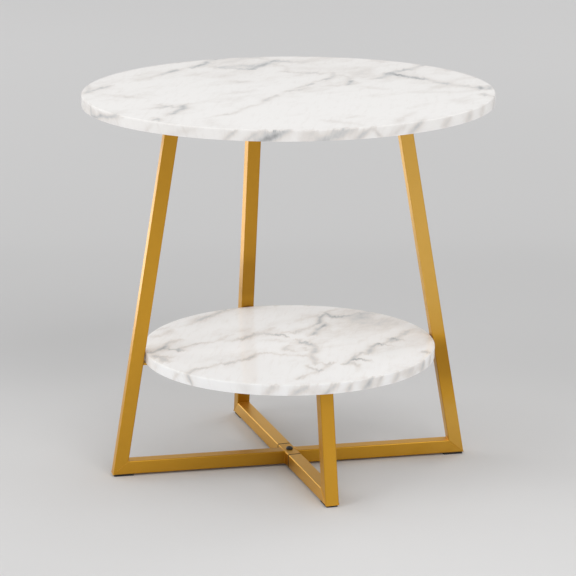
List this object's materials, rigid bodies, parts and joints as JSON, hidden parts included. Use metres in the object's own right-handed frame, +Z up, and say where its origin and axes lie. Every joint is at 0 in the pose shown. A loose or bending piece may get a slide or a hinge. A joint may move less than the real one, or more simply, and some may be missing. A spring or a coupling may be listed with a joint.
{
  "type": "tiered side table",
  "caption": "Round tiered side table: a marble-look top and a smaller low shelf on a crossed frame of gold square tube with leaning legs, the front one ending under the shelf.",
  "frame": {"origin": "on the floor, under the common centre of the top and the shelf, which is also the middle of the crossing", "axes": "+Z up, -Y towards the open front with the short leg, the front-to-back floor bar along Y, +X to the right"},
  "size_m": [0.5999, 0.6, 0.57],
  "materials": {
    "marble_film": "glossy printed marble film, white with soft grey veins",
    "board_core": "fibreboard with a pale melamine underside",
    "gold_steel": "satin gold coating on steel tube and strip",
    "black_steel": "black oxide",
    "zinc_steel": "zinc plated",
    "foot_rubber": "matt black"
  },
  "bodies": {
    "root": {"back_bar": "gold_steel", "back_foot_pad": "foot_rubber", "back_leg": "gold_steel", "back_shelf_tab": "gold_steel", "back_tongue": "gold_steel", "back_top_plate": "gold_steel", "crossing_bolt": "black_steel", "crossing_hub": "gold_steel", "crossing_nut": "zinc_steel", "front_bar": "gold_steel", "front_foot_pad": "foot_rubber", "front_leg": "gold_steel", "front_shelf_plate": "gold_steel", "front_tongue": "gold_steel", "left_bar": "gold_steel", "left_foot_pad": "foot_rubber", "left_leg": "gold_steel", "left_shelf_tab": "gold_steel", "left_top_plate": "gold_steel", "right_bar": "gold_steel", "right_foot_pad": "foot_rubber", "right_leg": "gold_steel", "right_shelf_tab": "gold_steel", "right_top_plate": "gold_steel", "shelf_bolts": "black_steel", "shelf_core": "board_core", "shelf_film": "marble_film", "shelf_inserts": "zinc_steel", "table_top_bolts": "black_steel", "table_top_core": "board_core", "table_top_film": "marble_film", "table_top_inserts": "zinc_steel"}
  },
  "joints": []
}
